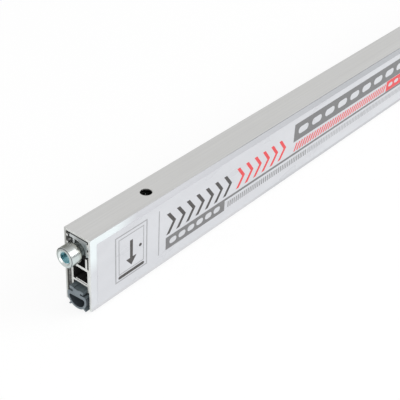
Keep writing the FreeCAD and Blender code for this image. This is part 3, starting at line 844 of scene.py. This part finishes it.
# Plunger block and rod: a cast block that slides in the open end, riveted to a
# flat zinc plated rod. They are copies of the solids with softened edges, and the
# block gets a key, a lip, a plate behind the screw head and cut corners.
BLOCK_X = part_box("plunger_block")[0][0] / MM
SOFT_EDGE = 0.12
CORNER_INNER = 2.25
CORNER_TOP = -8.1
CORNER_LENGTH = 3.5
KEY_LENGTH = 5.6
LIP_LENGTH = 1.3
PLATE_FRONT = 0.45
PLATE_BACK = 1.5


def softened(name, width):
    """Copy of a solid with its sharp edges rounded off."""
    piece = from_mesh(name + "_soft", nodes[name].data.copy())
    bevel = piece.modifiers.new("bevel", "BEVEL")
    bevel.width = width * MM
    bevel.segments = 2
    bevel.limit_method = "ANGLE"
    bevel.angle_limit = math.radians(40)
    baked(piece)
    return piece


block = softened("plunger_block", SOFT_EDGE)
for side in (-1, 1):
    corner = [(side * CORNER_INNER, CORNER_TOP), (side * 5, CORNER_TOP), (side * 5, -10),
              (side * CORNER_INNER, -10)]
    cut(block, extrusion("corner", [corner], BLOCK_X - 1, BLOCK_X + CORNER_LENGTH, 0.0))
key = rounded([(-4.7, -4.78), (-4.7, -3.35), (-3.8, -3.35), (-3.8, -4.78)], 0.1)
cut(block, extrusion("key", [key], BLOCK_X + 0.01, BLOCK_X + KEY_LENGTH, 0.05), "UNION")
lip = rounded(rectangle(-4.0, -2.6, 4.0, -1.97), 0.1)
cut(block, extrusion("lip", [lip], BLOCK_X + 0.01, BLOCK_X + LIP_LENGTH, 0.05), "UNION")
plate_outline = rounded(rectangle(-3.5, -8.0, 0.65, -3.1), 0.1)
plate = extrusion("plate", [plate_outline], BLOCK_X + PLATE_FRONT, BLOCK_X + PLATE_BACK, 0.05)
cut(plate, lathe("bore", [(-1, 0), (-1, 2.6), (3, 2.6), (3, 0)], (BLOCK_X, 0, SCREW_Z), (1, 0, 0), 48))
cut(block, plate, "UNION")

# The casting's front gets painted light, bright at the back and greyer towards the front
# wall in its shade, and its recess is blue-grey with painted light, bright at the back.
cast_zinc = metal("cast_zinc", (0.50, 0.54, 0.53), (0.62, 0.66, 0.65), (0.34, 0.46), FINE_GRAIN, 0.8, 0.2)
block_face, tree = new_material("cast_zinc_front")
grain = marks(tree, FINE_GRAIN, rough=(0.36, 0.46))
base = mixed(tree, fade(tree, "Y", -3.0, 1.5), (0.52, 0.56, 0.56), (0.80, 0.82, 0.83))
base = mixed(tree, spread(tree, grain["Marks"], 0, 0.5), base, (0.45, 0.49, 0.49))
surface(tree, base, 0.4, grain["Roughness"], bumped(tree, grain["Marks"], 0.1, 0.05))
recess, tree = new_material("cast_zinc_recess")
grain = marks(tree, GRAIN, rough=(0.34, 0.44))
base = mixed(tree, fade(tree, "Y", -2.8, 0.6), (0.30, 0.36, 0.365), (0.92, 0.98, 1.0))
base = mixed(tree, spread(tree, grain["Marks"], 0, 0.2), base, (0.40, 0.45, 0.45))
surface(tree, base, 0.2, grain["Roughness"], bumped(tree, grain["Marks"], 0.1, 0.05))
paint(block, cast_zinc)
paint(block, recess, lambda centre, normal: normal.x < -0.3 and centre.x < BLOCK_X + 4)
paint(block, block_face, lambda centre, normal: normal.x < -0.3 and centre.x < BLOCK_X + 0.2)
# Near black painted shade on the nose below the cut corners.
paint(block, painted_shade_black, lambda centre, normal: centre.z < CORNER_TOP - 0.05 and centre.x < BLOCK_X + 5)
dress(block, "plunger", "steel", "plunger_block")
rod = softened("slider_rod", 0.1)
paint(rod, zinc)
dress(rod, "plunger", "zinc", "slider_rod")


# Return spring: a coil of round spring wire, which the rod squeezes against a stop.
# Here the coil is fixed where it is drawn, on no body.
WIRE_RADIUS = 0.24
COIL_RADIUS = 1.6
COIL_TURNS = 9
spring_lo, spring_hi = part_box("return_spring")
spring_z = (spring_lo[2] + spring_hi[2]) / 2 / MM


def coil(name, x0, x1, radius, wire_radius, turns, z, steps=28, around=10):
    """Round wire wound about a line along X."""
    total = int(turns * steps)
    rings = []
    for index in range(total + 1):
        part = index / total
        angle = 2 * math.pi * turns * part
        x = x0 + wire_radius + (x1 - x0 - 2 * wire_radius) * part
        ring = []
        for side in range(around):
            tilt = 2 * math.pi * side / around
            r = radius + wire_radius * math.cos(tilt)
            ring.append((x + wire_radius * math.sin(tilt), r * math.cos(angle), z + r * math.sin(angle)))
        rings.append(ring)
    return skinned(name, rings)


wire = metal("spring_wire", (0.20, 0.20, 0.21), (0.30, 0.30, 0.31), (0.25, 0.35), FINE_GRAIN)
spring = coil("spring_coil", spring_lo[0] / MM, spring_hi[0] / MM, COIL_RADIUS, WIRE_RADIUS, COIL_TURNS,
              spring_z)
paint(spring, wire)
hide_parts("return_spring")
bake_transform(spring)


# Floor: white to the camera, with a soft shadow kept. Reflections show it pale in
# front and dark behind. The seal stands on it, so it moves down with the seal.
floor_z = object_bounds()[0][2] - 0.02 * MM
work = bmesh.new()
bmesh.ops.create_grid(work, x_segments=1, y_segments=1, size=4)
floor_mesh = bpy.data.meshes.new("floor")
work.to_mesh(floor_mesh)
work.free()
floor_mesh.transform(Matrix.Translation((0, 0, floor_z)))
floor = bpy.data.objects.new("floor", floor_mesh)
scene.collection.objects.link(floor)
paper, tree = new_material("paper")
rays = wired(tree, "ShaderNodeLightPath", {}).outputs
plain = wired(tree, "ShaderNodeBsdfDiffuse", {"Color": (0.85, 0.85, 0.85)}).outputs[0]
white = wired(tree, "ShaderNodeEmission", {"Color": (1, 1, 1), "Strength": 1.05}).outputs[0]
seen = wired(tree, "ShaderNodeMixShader",
             {0: product(tree, rays["Is Camera Ray"], 0.8), 1: plain, 2: white}).outputs[0]
pale_to_dark = mixed(tree, fade(tree, "Y", 5, 60), (1.0, 1.06, 1.07), (0.38, 0.375, 0.34))
reflected = wired(tree, "ShaderNodeEmission", {"Color": pale_to_dark}).outputs[0]
shown = wired(tree, "ShaderNodeMixShader", {0: rays["Is Glossy Ray"], 1: seen, 2: reflected}).outputs[0]
wired(tree, "ShaderNodeOutputMaterial", {"Surface": shown})
paint(floor, paper)
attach(floor, "drop_bar")


# Light: a pale room with two darker sides that the metal reflects, one soft box
# high before the bar and another beside the camera.
FAR_BEHIND = (0.75, 0.65, 0.1)
FAR_BEFORE = (0.65, -0.75, 0.06)


def toward(tree, direction, start, end):
    """Mask of the side of the room that lies in a direction."""
    sight = wired(tree, "ShaderNodeTexCoord", {}).outputs["Generated"]
    near = wired(tree, "ShaderNodeVectorMath", {0: sight, 1: Vector(direction).normalized()},
                 operation="DOT_PRODUCT")
    return spread(tree, near.outputs["Value"], 0, 1, start, end)


world = bpy.data.worlds.new("studio")
scene.world = world
world.use_nodes = True
tree = world.node_tree
room = mixed(tree, toward(tree, FAR_BEHIND, 0.45, 0.95), (0.76, 0.76, 0.76), (0.24, 0.235, 0.21))
room = mixed(tree, toward(tree, FAR_BEFORE, 0.955, 0.975), room, (0.30, 0.31, 0.33))
camera_ray = wired(tree, "ShaderNodeLightPath", {}).outputs["Is Camera Ray"]
tree.links.new(mixed(tree, camera_ray, room, (1, 1, 1)), tree.nodes["Background"].inputs["Color"])

LAMP_AIM = Vector((-0.15, 0, -0.01))


def area_lamp(name, direction, distance, size, power):
    """Soft box that looks at the near end of the bar."""
    data = bpy.data.lights.new(name, "AREA")
    data.shape = "SQUARE"
    data.size = size
    data.energy = power
    lamp = bpy.data.objects.new(name, data)
    lamp.location = LAMP_AIM + Vector(direction).normalized() * distance
    lamp.rotation_euler = (LAMP_AIM - lamp.location).to_track_quat("-Z", "Y").to_euler()
    scene.collection.objects.link(lamp)


area_lamp("over", (0.646, -0.53, 0.545), 1.2, 0.75, 4.4)
area_lamp("beside", (-0.76, -0.45, 0.43), 1.2, 0.75, 4)
